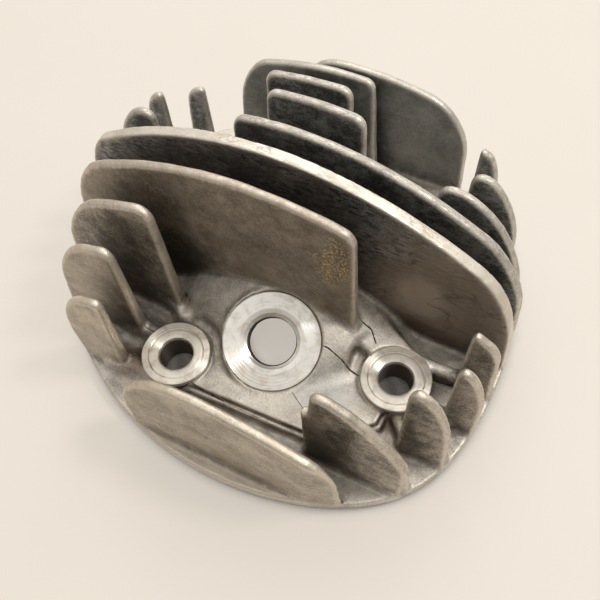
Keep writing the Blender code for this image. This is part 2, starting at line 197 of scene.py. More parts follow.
def body_field(edge):
    """Plate, crown, plug boss, pad, web, ribs and stud bosses."""
    slab = np.abs(Z - 0.5 * (PLATE_TOP + PLATE_BOTTOM)) - 0.5 * (PLATE_TOP - PLATE_BOTTOM)
    plate = meet_round(edge, slab, PLATE_EDGE)
    wall = np.hypot(X - AXIS[0], Y - AXIS[1]) - CROWN_RADIUS
    crown = np.maximum(np.maximum(cap(CROWN_RADIUS, PLATE_TOP, CROWN_TOP), wall), -Z)
    body = union_round(plate, crown, CROWN_FILLET)
    boss = np.maximum(meet_round(AWAY - PLUG_COLLAR, ALONG + PLUG_LEVEL, PLUG_EDGE), PLATE_BOTTOM - Z)
    body = union_round(body, boss, PLUG_FILLET)
    outline = polygon_distance(np.array(PAD), X, Y)
    pad = meet_round(outline, Z - PAD_TOP, PAD_EDGE)
    ledge = meet_round(outline - LEDGE_WIDTH, Z - LEDGE_TOP, LEDGE_EDGE)
    pad = np.maximum(union_round(pad, ledge, LEDGE_FILLET), PLATE_BOTTOM - Z)
    body = union_round(body, pad, PAD_FILLET)
    for place, (sx, sy) in STUDS.items():
        heading, reach, radius, floor = RELIEFS[place]
        turn = math.radians(heading)
        away = np.hypot(X - sx - reach * math.cos(turn), Y - sy - reach * math.sin(turn))
        body = meet_round(body, -meet_round(away - radius, floor - Z, RELIEF_EDGE), RELIEF_LIP)
    rise = (X - WEB_RISE_FROM[0]) * WEB_RISE_ALONG[0] + (Y - WEB_RISE_FROM[1]) * WEB_RISE_ALONG[1]
    roof = Z - WEB_TOP - WEB_RISE * np.clip(rise, 0, WEB_RISE_LENGTH)
    web = meet_round(polygon_distance(hull(WEB), X, Y), WEB_SLANT * roof, WEB_EDGE)
    body = union_round(body, np.maximum(web, PLATE_BOTTOM - Z), WEB_FILLET)
    for rib in RIBS:
        body = union_round(body, np.maximum(rib_distance(rib), PLATE_BOTTOM - Z), rib[-1])
    for sx, sy in STUDS.values():
        stud = np.hypot(X - sx, Y - sy) - BOSS_RADIUS + BOSS_SKIN
        stud = np.maximum(meet_round(stud, Z - BOSS_TOP + BOSS_SINK, BOSS_SINK), -Z)
        body = union_round(body, stud, BOSS_FILLET)
    return body


def fin_outline(p):
    """Outline of a fin in its own plane, from its CAD vertices and down to its root."""
    middle = 0.5 * (p[:, 0].min() + p[:, 0].max())
    sides = [p[p[:, 0] < middle], p[p[:, 0] >= middle]]
    feet = [[side[side[:, 2].argmin(), 0], FIN_ROOT] for side in sides]
    return hull(np.vstack([p[:, [0, 2]], feet]))


def cells_around(p):
    """Part of the grid that holds a fin's CAD vertices, down to the bottom."""
    low, high = p.min(0) - FIN_MARGIN, p.max(0) + FIN_MARGIN
    low[2] = LOW[2]
    return tuple(slice(max(0, int((low[i] - LOW[i]) / STEP)),
                       min(SHAPE[i], int((high[i] - LOW[i]) / STEP) + 1)) for i in range(3))


def stub_distance(x, z):
    """Distance to the lower end of the second right fin, in the fin's plane."""
    (x0, x1), (z0, z1) = STUB
    return np.maximum(np.abs(x - 0.5 * (x0 + x1)) - 0.5 * (x1 - x0),
                      np.abs(z - 0.5 * (z0 + z1)) - 0.5 * (z1 - z0))


def fins_field(edge):
    """Distance to the nearest fin, which fin that is, and each fin's outline in its own plane."""
    field = np.full(SHAPE, 1e3, np.float32)
    owner = np.full(SHAPE, -1, np.int16)
    names = sorted(n for n in NODES if n.startswith("fin_"))
    outlines = {}
    for index, name in enumerate(names):
        p = node_points(name)
        y = 0.5 * (p[:, 1].min() + p[:, 1].max())
        main = name == "fin_06_main"
        half, round_edge = (MAIN_HALF, MAIN_EDGE) if main else (FIN_HALF, FIN_EDGE)
        outlines[name] = fin_outline(p)
        cut = cells_around(p)
        x, yy, z = X[cut[0]], Y[:, cut[1]], Z[:, :, cut[2]]
        face = polygon_distance(outlines[name], x, z)
        if name == "fin_02_right":
            face = np.minimum(face, stub_distance(x, z))
        thick = np.abs(yy - y) - half - np.clip(p[:, 2].max() - z, 0, None) * FIN_DRAFT
        d = meet_round(face, thick, round_edge)
        if name in RIM_FINS:
            d = meet_round(d, edge[cut[0], cut[1]], RIM_EDGE)
        part = field[cut]
        closer = d < part
        part[closer] = np.broadcast_to(d, part.shape)[closer]
        owner[cut][closer] = index
    return field, owner, names, outlines


# Distances along and away from the plug axis.
ALONG = sum((c - s) * a for c, s, a in zip((X, Y, Z), PLUG_SEAT, PLUG_AXIS))
AWAY = np.sqrt(np.maximum((X - PLUG_SEAT[0]) ** 2 + (Y - PLUG_SEAT[1]) ** 2 + (Z - PLUG_SEAT[2]) ** 2
                          - ALONG ** 2, 0))
plate_edge = polygon_distance(hull(node_points("base_plate")[:, :2]), X, Y)
body = body_field(plate_edge)
fins, owner, fin_names, fin_outlines = fins_field(plate_edge)
total = union_round(body, fins, FIN_FILLET)
on_fin = fins < body

# Casting is never quite flat: a slow wander, then the machined cuts.
wander = np.sin(0.23 * X + 1.3) * np.sin(0.31 * Y + 0.7) * np.sin(0.27 * Z + 2.1)
wander = wander + 0.5 * np.sin(0.61 * X + 0.4 * Z) * np.sin(0.53 * Y - 0.37 * Z + 1.0)
total = total + SHRINK + WANDER * wander
total = np.maximum(total, plate_edge - OVERHANG * np.clip(Z - PLATE_TOP, 0, None))
CHAMBER_SPHERE = (CHAMBER_RADIUS ** 2 + CHAMBER_DEPTH ** 2) / (2 * CHAMBER_DEPTH)
CHAMBER_CENTRE = np.array([AXIS[0], AXIS[1], CHAMBER_DEPTH - CHAMBER_SPHERE])
chamber = np.sqrt(sum((c - m) ** 2 for c, m in zip((X, Y, Z), CHAMBER_CENTRE))) - CHAMBER_SPHERE
total = np.maximum(total, -chamber)
total = np.maximum(total, -Z)
total = np.maximum(total, -np.maximum(AWAY - PLUG_FACE - PLUG_CLEARANCE, -ALONG - PLUG_RECESS))
total = np.maximum(total, SLEEVE_OPENING - AWAY)
for sx, sy in STUDS.values():
    total = np.maximum(total, INSERT_HOLE - np.hypot(X - sx, Y - sy))
total = np.ascontiguousarray(np.broadcast_to(total, SHAPE), dtype=np.float32)

grid = openvdb.FloatGrid(BAND * STEP)
grid.copyFromArray(np.clip(total, -BAND * STEP, BAND * STEP))
points, _, quads = grid.convertToPolygons(isovalue=0.0, adaptivity=0.0)


def sample(volume, p):
    """Trilinear reading of a volume at grid coordinates."""
    q = np.clip(p, 0, np.array(SHAPE) - 1.001)
    i = q.astype(int)
    f = q - i
    out = 0
    for dx in (0, 1):
        for dy in (0, 1):
            for dz in (0, 1):
                weight = np.ones(len(p))
                for axis, far in enumerate((dx, dy, dz)):
                    weight = weight * (f[:, axis] if far else 1 - f[:, axis])
                out = out + weight * volume[i[:, 0] + dx, i[:, 1] + dy, i[:, 2] + dz]
    return out


def slope_and_bend(p, reach):
    """Unit normals and curvature (per mm, positive on outside edges) of the field, over grid steps."""
    here = sample(total, p)
    slope, bend = [], 0
    for axis in range(3):
        shift = np.zeros(3)
        shift[axis] = reach
        ahead, behind = sample(total, p + shift), sample(total, p - shift)
        slope.append(ahead - behind)
        bend = bend + ahead + behind - 2 * here
    slope = np.stack(slope, 1)
    slope /= np.maximum(np.linalg.norm(slope, axis=1), 1e-9)[:, None]
    return slope, bend / (reach * STEP) ** 2


normals, _ = slope_and_bend(points, NORMAL_REACH)
_, bend = slope_and_bend(points, BEND_REACH / STEP)
lean = sample(np.clip(body - fins, -LEAN_LIMIT, LEAN_LIMIT), points)    # how far onto a fin
skin = points * STEP + LOW                                              # vertices in millimetres

# Where the pad's and the web's patches begin: height over the plate, distance from the crown's axis
# and reach outside their outlines.
RAISED_BY, CROWN_FOOT, PATCH_BORDER = 0.2, 30.0, 0.3


def patch_labels():
    """Region of each face of the skin."""
    centre = points[quads].mean(1)
    cell = np.clip(np.round(centre).astype(int), 0, np.array(SHAPE) - 1)
    cell = (cell[:, 0], cell[:, 1], cell[:, 2])
    place = centre * STEP + LOW
    radius = np.hypot(place[:, 0] - AXIS[0], place[:, 1] - AXIS[1])
    label = np.where(np.broadcast_to(on_fin, SHAPE)[cell], owner[cell], -1)
    body_face = label < 0
    names = fin_names + ["base_plate", "crown", "front_pad", "boss_web"]
    plate_or_crown = np.where(radius > CROWN_RADIUS, names.index("base_plate"), names.index("crown"))
    label[body_face] = plate_or_crown[body_face]
    raised = body_face & (place[:, 2] > PLATE_TOP + RAISED_BY) & (radius > CROWN_FOOT)
    for name, outline in (("front_pad", PAD), ("boss_web", WEB)):
        inside = polygon_distance(hull(outline), place[:, 0], place[:, 1]) < PATCH_BORDER
        label[raised & inside] = names.index(name)
    return label, names


# ---------------------------------------------------------------- materials

# Tones of the bare casting, from its dark patches to its light ones, and how sharply they meet.
BODY_TONES = ((0.36, 0.33, 0.29), (0.72, 0.68, 0.61))
BODY_SPREAD, FIN_SPREAD = 0.09, 0.085
BROAD_SHARE, BLOTCH_SHARE, SMEAR_SHARE, FINE_SHARE = 0.3, 0.28, 0.12, 0.3      # of each noise in a tone
CAST_METALLIC = 0.75
CAST_ROUGH, CAST_ROUGH_SPREAD, POLISH = 0.34, 0.35, 0.14
TURNED_ROUGH, TURNED_ROUGH_SPREAD, BORE_ROUGH = 0.25, 0.18, 0.3
TURNED_GLARE, GLARE_TURN = 0.9, 0.25
PORE_SPACING = 1.3
GROOVE_PITCH = 0.3
# Reach and strength of the grime and painted shade where the casting is closed in.
SHELTER_REACH, SHELTER_STRENGTH = 16.0, 0.82
MOUTH_FADE = 0.6                             # height over which a bore's grime and painted shade set in

# Stains, grime, painted shade and rubbed places.
GOLD = (0.95, 0.72, 0.28)
# Black for soot and for painted shade in spots.
SOOT_AND_SHADE = (0.05, 0.046, 0.042)
# Brown for grime and for painted shade in spots.
BROWN_GRIME_AND_SHADE = (0.17, 0.11, 0.065)
BEIGE = (0.74, 0.65, 0.54)
PALE_GREY = (0.66, 0.69, 0.72)
TAN, PALE_TAN = (0.34, 0.27, 0.21), (0.56, 0.48, 0.40)
PORE_BLACK = (0.03, 0.026, 0.022)
CRACK_BLACK = (0.02, 0.015, 0.012)
DRIED_STAIN = (0.42, 0.36, 0.29)
# Colour of the grime and painted shade where the casting is closed in.
SHELTER_GRIME_AND_SHADE = (0.075, 0.06, 0.05)
# Colour of the grime and painted shade in the inside creases.
CREASE_GRIME_AND_SHADE = (0.07, 0.05, 0.035)
RIM_PALE = (0.66, 0.57, 0.46)
RUBBED_METAL = (0.78, 0.72, 0.62)
CREST_TONES = ((0.58, 0.53, 0.45), (0.84, 0.79, 0.71))
CREST_STAIN = (0.42, 0.35, 0.26)

Textures = namedtuple("Textures", "broad blotch fine smear tone")

# Dark hairlines in the casting: start, end and width of each.
BODY_SEAMS = (((14.0, -20.6), (18.0, -19.9), 0.26), ((18.0, -19.9), (21.5, -20.4), 0.34),
              ((21.5, -20.4), (27.2, -21.4), 0.45), ((-9.8, -22.3), (-5.5, -24.0), 0.22),
              ((-14.0, -41.6), (-7.5, -41.9), 0.28), ((-5.2, -42.1), (-1.5, -42.2), 0.25),
              ((0.0, -42.4), (9.0, -42.2), 0.12), ((21.9, -9.4), (25.9, -9.9), 0.34),
              ((25.9, -9.9), (28.2, -12.4), 0.30), ((14.0, -33.0), (22.0, -38.0), 0.14),
              ((43.0, -13.4), (50.0, -13.0), 0.32), ((-31.0, -33.0), (-26.5, -33.4), 0.22),
              ((-30.5, -42.0), (-27.0, -40.0), 0.22))


def socket(tree, target, value):
    """Give an input a value or a link."""
    if isinstance(value, bpy.types.NodeSocket):
        tree.links.new(value, target)
    elif value is not None:
        target.default_value = value


def node(tree, kind, *values, **settings):
    """Add a node with its first inputs and its settings."""
    made = tree.nodes.new(kind)
    for key, value in settings.items():
        setattr(made, key, value)
    for target, value in zip(made.inputs, values):
        socket(tree, target, value)
    return made


def maths(tree, operation, a, b=None):
    """One step of arithmetic."""
    return node(tree, "ShaderNodeMath", a, b, operation=operation).outputs[0]


def times(tree, a, b):
    """Product of two values."""
    return maths(tree, "MULTIPLY", a, b)


def plus(tree, a, b):
    """Sum of two values."""
    return maths(tree, "ADD", a, b)


def minus(tree, a, b):
    """First value less the second."""
    return maths(tree, "SUBTRACT", a, b)


def shifted(tree, value, texture, amount):
    """Value pushed up and down by a texture, which makes its edges ragged."""
    return plus(tree, value, times(tree, minus(tree, texture, 0.5), amount))


def smooth(tree, value, low, high):
    """Smooth step from 0 at low to 1 at high."""
    made = node(tree, "ShaderNodeMapRange", value, low, high, interpolation_type="SMOOTHSTEP")
    return made.outputs[0]


def noise(tree, place, size, detail=3.0, rough=0.55, warp=0.0):
    """Noise whose features are about size millimetres."""
    made = node(tree, "ShaderNodeTexNoise", place)
    made.inputs["Scale"].default_value = 1.0 / size
    made.inputs["Detail"].default_value = detail
    made.inputs["Roughness"].default_value = rough
    made.inputs["Distortion"].default_value = warp
    return made.outputs[0]


def blend(tree, amount, a, b):
    """Mix two colours."""
    made = node(tree, "ShaderNodeMix", data_type="RGBA")
    socket(tree, made.inputs[0], amount)
    for target, value in ((made.inputs[6], a), (made.inputs[7], b)):
        socket(tree, target, (*value, 1.0) if isinstance(value, tuple) else value)
    return made.outputs[2]


def ramp(tree, value, stops):
    """Colour ramp through (position, colour) stops."""
    made = node(tree, "ShaderNodeValToRGB", value)
    elements = made.color_ramp.elements
    while len(elements) < len(stops):
        elements.new(0.5)
    for element, (position, colour) in zip(elements, stops):
        element.position = position
        element.color = (*colour, 1.0)
    return made.outputs[0]


def stretched(tree, place, scale, turn=(0.0, 0.0, 0.0)):
    """Coordinates squeezed along the axes."""
    made = node(tree, "ShaderNodeMapping", place)
    made.inputs["Rotation"].default_value = turn
    made.inputs["Scale"].default_value = scale
    return made.outputs[0]


def new_material(name):
    """Empty material with its Principled shader and coordinates in datum millimetres."""
    material = bpy.data.materials.new(name)
    material.use_nodes = True
    tree = material.node_tree
    shader = tree.nodes["Principled BSDF"]
    where = node(tree, "ShaderNodeTexCoord").outputs["Object"]
    scaled = node(tree, "ShaderNodeVectorMath", where, (1 / MM,) * 3, operation="MULTIPLY").outputs[0]
    return material, tree, shader, scaled


def stored(tree, name):
    """Value kept on the mesh's vertices under a name."""
    return node(tree, "ShaderNodeAttribute", attribute_name=name).outputs["Fac"]


def openness(tree, reach, samples):
    """How open a point is: 0 when covered within the reach in millimetres, 1 in the clear."""
    cover = node(tree, "ShaderNodeAmbientOcclusion", samples=samples)
    cover.inputs["Distance"].default_value = reach * MM
    return cover.outputs["AO"]


def add_bump(tree, shader, relief, strength, height):
    """Bump from a relief, with its height in millimetres."""
    bump = node(tree, "ShaderNodeBump")
    bump.inputs["Strength"].default_value = strength
    bump.inputs["Distance"].default_value = height * MM
    tree.links.new(relief, bump.inputs["Height"])
    tree.links.new(bump.outputs[0], shader.inputs["Normal"])


def spot(tree, place, centre, radii, ragged):
    """Mask that is 1 inside a ragged ellipsoid and fades outside."""
    away = node(tree, "ShaderNodeVectorMath", place, tuple(centre[i] + DATUM[i] for i in range(3)),
                operation="SUBTRACT").outputs[0]
    shrunk = node(tree, "ShaderNodeVectorMath", away, tuple(1.0 / r for r in radii),
                  operation="MULTIPLY").outputs[0]
    length = node(tree, "ShaderNodeVectorMath", shrunk, operation="LENGTH").outputs["Value"]
    return smooth(tree, shifted(tree, length, noise(tree, place, 3.5, detail=4.0), ragged), 1.2, 0.5)


def seam(tree, place, start, end, width):
    """Mask of a thin line between two points of the plan."""
    a = Vector((*start, 0.0)) + Vector(DATUM)
    along = Vector((*end, 0.0)) - Vector((*start, 0.0))
    flat = node(tree, "ShaderNodeVectorMath", place, (1.0, 1.0, 0.0), operation="MULTIPLY").outputs[0]
    local = node(tree, "ShaderNodeVectorMath", flat, tuple(a), operation="SUBTRACT").outputs[0]
    t = node(tree, "ShaderNodeVectorMath", local, tuple(along / along.length_squared),
             operation="DOT_PRODUCT").outputs["Value"]
    t = maths(tree, "MAXIMUM", maths(tree, "MINIMUM", t, 1.0), 0.0)
    scale = node(tree, "ShaderNodeVectorMath", operation="SCALE")
    scale.inputs[0].default_value = tuple(along)
    tree.links.new(t, scale.inputs["Scale"])
    apart = node(tree, "ShaderNodeVectorMath", local, scale.outputs[0], operation="SUBTRACT").outputs[0]
    length = node(tree, "ShaderNodeVectorMath", apart, operation="LENGTH").outputs["Value"]
    waver = times(tree, noise(tree, place, 1.6, detail=2.0), width)
    return smooth(tree, plus(tree, length, waver), 1.3 * width, 0.7 * width)


def tarnish(tree, tone, low, high, width):
    """Colour that runs from low to high as the tone passes its middle."""
    middle = tuple(0.5 * (a + b) for a, b in zip(low, high))
    return ramp(tree, tone, [(0.5 - width, low), (0.5, middle), (0.5 + width, high)])


def torn_fibres(tree, place, broad, amount):
    """Masks of the dark and the pale fibres that run slantwise over a fin."""
    slanted = stretched(tree, place, (0.3, 1.0, 1.0), turn=(0.0, 0.45, 0.0))
    thread = noise(tree, slanted, 0.8, detail=6.0, rough=0.75, warp=0.4)
    patchy = times(tree, smooth(tree, broad, 0.35, 0.5), amount)
    torn = times(tree, smooth(tree, thread, 0.52, 0.45), patchy)
    pale = times(tree, smooth(tree, thread, 0.54, 0.62), 0.6 * amount)
    return torn, pale


def pore_mask(tree, place, amount):
    """Small casting pores in scattered groups."""
    pore = node(tree, "ShaderNodeTexVoronoi", place)
    pore.inputs["Scale"].default_value = 1.0 / PORE_SPACING
    chosen = smooth(tree, noise(tree, place, 5.0, detail=3.0), 0.53, 0.64)
    hole = times(tree, smooth(tree, pore.outputs["Distance"], 0.27, 0.12), chosen)
    return times(tree, hole, amount)


def tide_marks(tree, place, colour, dark, blotch, climb, amount):
    """Dried-up stains: a paler inside with a thin dark outline."""
    level = minus(tree, noise(tree, place, 15.0, detail=1.5, rough=0.5, warp=1.0), 0.5)
    inside = times(tree, smooth(tree, level, 0.0, 0.02), climb)
    colour = blend(tree, times(tree, inside, 0.5 * amount), colour, DRIED_STAIN)
    line = smooth(tree, maths(tree, "ABSOLUTE", level), 0.014, 0.003)
    line = times(tree, times(tree, line, climb), smooth(tree, blotch, 0.35, 0.6))
    return blend(tree, times(tree, line, amount), colour, tuple(0.3 * c for c in dark))


def machined_crest(tree, place):
    """Mask, scratches and colour of a fin's crest that was milled flat."""
    drawn = stretched(tree, place, (0.12, 1.0, 0.12), turn=(0.0, 0.0, 0.35))
    scratch = noise(tree, drawn, 0.35, detail=4.0, rough=0.7)
    stain = smooth(tree, noise(tree, place, 9.0, detail=4.0, rough=0.6), 0.42, 0.62)
    bare = blend(tree, scratch, *CREST_TONES)
    bare = blend(tree, times(tree, stain, 0.4), bare, CREST_STAIN)
    return smooth(tree, stored(tree, "inset"), 0.5, 0.25), scratch, bare


def textures(tree, place):
    """Noises that mottle the casting, from slow to fine, and the tone they add up to."""
    broad = noise(tree, place, 13.0, detail=3.0, rough=0.55, warp=0.8)
    blotch = noise(tree, place, 3.6, detail=5.0, rough=0.65, warp=0.6)
    fine = noise(tree, place, 0.5, detail=3.0, rough=0.6)
    streaks = stretched(tree, place, (0.4, 1.0, 1.0), turn=(0.0, 0.5, 0.0))
    smear = noise(tree, streaks, 3.5, detail=5.0, rough=0.6, warp=1.2)
    tone = plus(tree, times(tree, broad, BROAD_SHARE), times(tree, blotch, BLOTCH_SHARE))
    tone = plus(tree, tone, times(tree, smear, SMEAR_SHARE))
    tone = plus(tree, tone, times(tree, fine, FINE_SHARE))
    return Textures(broad, blotch, fine, smear, tone)


def pale_rim(tree, colour, marks, climb, light):
    """Lighter metal along a fin's outline, where it was rubbed."""
    rim = smooth(tree, shifted(tree, stored(tree, "inset"), marks.blotch, 4.0), 1.7, 0.5)
    rim = times(tree, rim, times(tree, climb, 0.5))
    return blend(tree, rim, colour, tuple(0.4 * c + 0.6 * w for c, w in zip(light, RIM_PALE)))


def sheltered_grime_and_shade(tree, colour, marks):
    """Grime and painted shade where the casting is closed in."""
    sheltered = shifted(tree, openness(tree, SHELTER_REACH, samples=6), marks.blotch, 0.5)
    sheltered = times(tree, smooth(tree, sheltered, 0.6, 0.16), SHELTER_STRENGTH)
    return blend(tree, sheltered, colour, SHELTER_GRIME_AND_SHADE)


def crease_shade_and_wear(tree, place, colour, rough, crease_shade_amount, wear):
    """Grime and painted shade in the inside corners, and bare metal on the outside edges."""
    curve = stored(tree, "bend")
    patchy = noise(tree, place, 2.0, detail=4.0, rough=0.65)
    # Patchy grime and painted shade where the surface bends inward.
    hollow = times(tree, smooth(tree, curve, -0.25, -0.8), smooth(tree, patchy, 0.2, 0.55))
    colour = blend(tree, times(tree, hollow, crease_shade_amount), colour, CREASE_GRIME_AND_SHADE)
    rubbed = times(tree, smooth(tree, shifted(tree, curve, patchy, 2.2), 0.4, 1.1), wear)
    colour = blend(tree, rubbed, colour, RUBBED_METAL)
    return colour, minus(tree, rough, times(tree, rubbed, POLISH))


def cast_metal(name, dark, light, contrast=1.0, fibre=0.0, tide=0.0, wear=0.35, crease_shade_amount=0.4, pits=0.3,
               spots=(), seams=(), crest=False):
    """Cast aluminium: mottled tarnish, smears, grime and painted shade in tight corners, lightly worn edges.
    """
    material, tree, shader, place = new_material(name)
    is_fin = dark != BODY_TONES[0]
    marks = textures(tree, place)
    colour = tarnish(tree, marks.tone, *BODY_TONES, BODY_SPREAD)
    rough = plus(tree, times(tree, marks.blotch, CAST_ROUGH_SPREAD), CAST_ROUGH)
    relief = plus(tree, times(tree, marks.fine, 0.4), times(tree, marks.blotch, 0.6))

    # The fin's own tarnish takes over a few millimetres up from its foot.
    climb = 1.0
    if is_fin:
        climb = smooth(tree, plus(tree, stored(tree, "lean"), times(tree, marks.smear, 2.0)), 0.8, 3.5)
        fin_colour = tarnish(tree, marks.tone, dark, light, FIN_SPREAD / contrast)
        if fibre:
            torn, pale = torn_fibres(tree, place, marks.broad, fibre)
            fin_colour = blend(tree, torn, fin_colour, tuple(0.3 * c for c in dark))
            fin_colour = blend(tree, pale, fin_colour, light)
            relief = minus(tree, relief, torn)
        colour = blend(tree, climb, colour, fin_colour)

    hole = pore_mask(tree, place, pits)
    colour = blend(tree, hole, colour, PORE_BLACK)
    relief = minus(tree, relief, hole)
    specks = smooth(tree, noise(tree, place, 0.5, detail=2.0, rough=0.7), 0.54, 0.6)
    for centre, radii, tint, strength, ragged in spots:
        mask = times(tree, spot(tree, place, centre, radii, ragged), strength)
        mask = times(tree, mask, specks if tint == GOLD else climb)
        colour = blend(tree, mask, colour, tint)
    if tide:
        colour = tide_marks(tree, place, colour, dark, marks.blotch, climb, tide)
    for start, end, width in seams:
        mask = seam(tree, place, start, end, width)
        colour = blend(tree, mask, colour, CRACK_BLACK)
        relief = minus(tree, relief, mask)

    if is_fin:
        colour = pale_rim(tree, colour, marks, climb, light)
    # Grime and painted shade where nearby surfaces close the casting in.
    colour = sheltered_grime_and_shade(tree, colour, marks)
    colour, rough = crease_shade_and_wear(tree, place, colour, rough, crease_shade_amount, wear)
    if crest:
        top, scratch, bare = machined_crest(tree, place)
        colour = blend(tree, top, colour, bare)
        rough = minus(tree, rough, times(tree, top, POLISH))
        relief = plus(tree, relief, times(tree, scratch, times(tree, top, 0.4)))

    add_bump(tree, shader, relief, strength=0.4, height=0.3)
    tree.links.new(colour, shader.inputs["Base Color"])
    tree.links.new(rough, shader.inputs["Roughness"])
    shader.inputs["Metallic"].default_value = CAST_METALLIC
    return material


def turned_metal(name, bare, tarnished, bore, mouth):
    """Lathe-turned face with soft radial glare, and its bore, darkened with grime and painted shade below the
    mouth height.
    """
    material, tree, shader, place = new_material(name)
    turn = node(tree, "ShaderNodeTexNoise", noise_dimensions="1D")
    tree.links.new(stored(tree, "radius"), turn.inputs["W"])
    turn.inputs["Scale"].default_value = 1.0 / GROOVE_PITCH
    turn.inputs["Detail"].default_value = 4.0
    cut = turn.outputs[0]
    blotch = noise(tree, place, 3.0, detail=5.0, rough=0.6, warp=0.5)
    colour = blend(tree, smooth(tree, blotch, 0.45, 0.7), bare, tarnished)
    colour = blend(tree, times(tree, smooth(tree, cut, 0.5, 0.68), 0.3), colour, tarnished)
    # The bore below the mouth is darkened with grime and painted shade.
    depth = smooth(tree, stored(tree, "height"), mouth + MOUTH_FADE, mouth)
    colour = blend(tree, depth, colour, bore)
    rough = plus(tree, times(tree, blotch, TURNED_ROUGH_SPREAD), TURNED_ROUGH)
    rough = plus(tree, rough, times(tree, depth, BORE_ROUGH))
    add_bump(tree, shader, cut, strength=0.2, height=0.06)
    tree.links.new(colour, shader.inputs["Base Color"])
    tree.links.new(rough, shader.inputs["Roughness"])
    tree.links.new(times(tree, minus(tree, 1.6, depth), 0.625), shader.inputs["Metallic"])
    shader.inputs["Anisotropic"].default_value = TURNED_GLARE
    shader.inputs["Anisotropic Rotation"].default_value = GLARE_TURN
    tangent = node(tree, "ShaderNodeTangent", direction_type="RADIAL", axis="Z")
    tree.links.new(tangent.outputs[0], shader.inputs["Tangent"])
    return material


# Each metal has its dark and its light tone. Each spot: centre, radii, colour, strength, raggedness.
MATERIALS = {
    "body": cast_metal("cast_body", *BODY_TONES, wear=0.3, crease_shade_amount=0.5, pits=0.15, seams=BODY_SEAMS,
                       spots=(((0.0, -58.5, 3.0), (60.0, 6.0, 6.0), BEIGE, 0.6, 0.4),
                              ((21.0, -30.0, 8.0), (8.0, 9.0, 6.0), PALE_GREY, 0.32, 1.2),
                              # Dark band in the gap between the pad and the front fin: grime and painted
                              # shadow.
                              ((3.0, -47.6, 4.8), (23.0, 4.8, 4.8), SOOT_AND_SHADE, 0.9, 0.5),
                              # Painted shade in the pocket below the front right boss.
                              ((38.0, -28.5, 5.0), (9.0, 4.0, 4.0), BROWN_GRIME_AND_SHADE, 0.6, 0.6),
                              # Painted shade between the second left fin and the front left boss.
                              ((-29.5, -41.5, 5.5), (8.0, 5.5, 4.0), BROWN_GRIME_AND_SHADE, 0.75, 0.7))),
    "front": cast_metal("cast_front_fins", (0.28, 0.235, 0.18), (0.60, 0.53, 0.44), tide=0.35,
                        wear=0.4, pits=0.2,
                        # Both spots are painted shade on the left fins beside the front left boss.
                        spots=(((-30.0, -43.0, 8.0), (5.0, 4.0, 8.0), SOOT_AND_SHADE, 0.5, 0.8),
                               ((-32.0, -32.0, 10.0), (6.0, 4.0, 12.0), SOOT_AND_SHADE, 0.8, 0.8))),
    "small": cast_metal("cast_small_fins", (0.17, 0.15, 0.125), (0.56, 0.50, 0.42), contrast=1.4,
                        wear=0.45, pits=0.5,
                        # Grime and painted shadow at the foot of the second right fin.
                        spots=(((26.0, -44.5, 9.0), (7.0, 4.0, 10.0), SOOT_AND_SHADE, 0.8, 0.7),
                               # Painted shade on the lower face of the fourth left fin.
                               ((-27.0, -20.5, 15.0), (7.0, 4.0, 16.0), SOOT_AND_SHADE, 0.5, 0.9),
                               ((45.0, -31.0, 32.0), (4.0, 4.0, 5.0), SOOT_AND_SHADE, 0.6, 1.0))),
    "long": cast_metal("cast_long_fin", (0.22, 0.185, 0.15), (0.50, 0.43, 0.35), wear=0.45, pits=0.15,
                       tide=0.2,
                       # Grime and painted shade on the lower left of the long fin.
                       spots=(((-30.0, -12.5, 16.0), (14.0, 5.0, 13.0), SOOT_AND_SHADE, 0.7, 1.2),
                              ((16.0, -12.5, 40.0), (5.5, 4.0, 10.0), GOLD, 1.0, 1.6),
                              ((-33.0, -12.5, 34.0), (6.0, 4.0, 15.0), GOLD, 0.75, 2.2))),
    "main": cast_metal("cast_main_fin", (0.13, 0.135, 0.145), (0.42, 0.41, 0.40), contrast=1.3, fibre=0.9,
                       tide=0.4, wear=0.25, pits=0.2, crest=True,
                       spots=(((44.0, -2.0, 24.0), (26.0, 5.0, 28.0), TAN, 0.8, 0.7),
                              ((35.0, -2.0, 22.5), (7.5, 5.0, 10.0), PALE_TAN, 0.65, 0.4),
                              # Brown grime and painted shade in the valley at the main fin's foot.
                              ((36.0, -2.0, 7.0), (15.0, 5.0, 5.0), BROWN_GRIME_AND_SHADE, 0.8, 0.9))),
    "rear": cast_metal("cast_rear_fins", (0.11, 0.12, 0.125), (0.56, 0.56, 0.53), contrast=1.6, fibre=0.5,
                       wear=0.5, pits=0.6),
    "back": cast_metal("cast_back_fins", (0.27, 0.27, 0.255), (0.50, 0.50, 0.48), wear=0.4, pits=0.15),
}
# The fins that aren't named here have the rear fins' metal.
MATERIAL_OF = {"base_plate": "body", "crown": "body", "front_pad": "body", "boss_web": "body",
               "fin_01_front": "front", "fin_02_left": "front", "fin_03_left": "front",
               "fin_02_right": "small", "fin_03_right": "small", "fin_04_left": "small",
               "fin_04_right": "small", "fin_05_right": "small", "fin_05_long": "long",
               "fin_06_main": "main", "fin_10_long": "back", "fin_11_back": "back"}
# The third colour of each turned metal is its bore's grime and painted shade.
SEAT_METAL = turned_metal("turned_seat", (0.93, 0.92, 0.89), (0.74, 0.69, 0.61),
                          (0.07, 0.062, 0.052), mouth=-1.9)
STUD_METAL = turned_metal("turned_boss", (0.78, 0.74, 0.67), (0.56, 0.51, 0.44),
                          (0.06, 0.045, 0.035), mouth=8.0)


# ---------------------------------------------------------------- pieces

NOT_ON_FIN = 99.0                # inset given to vertices that are on no fin

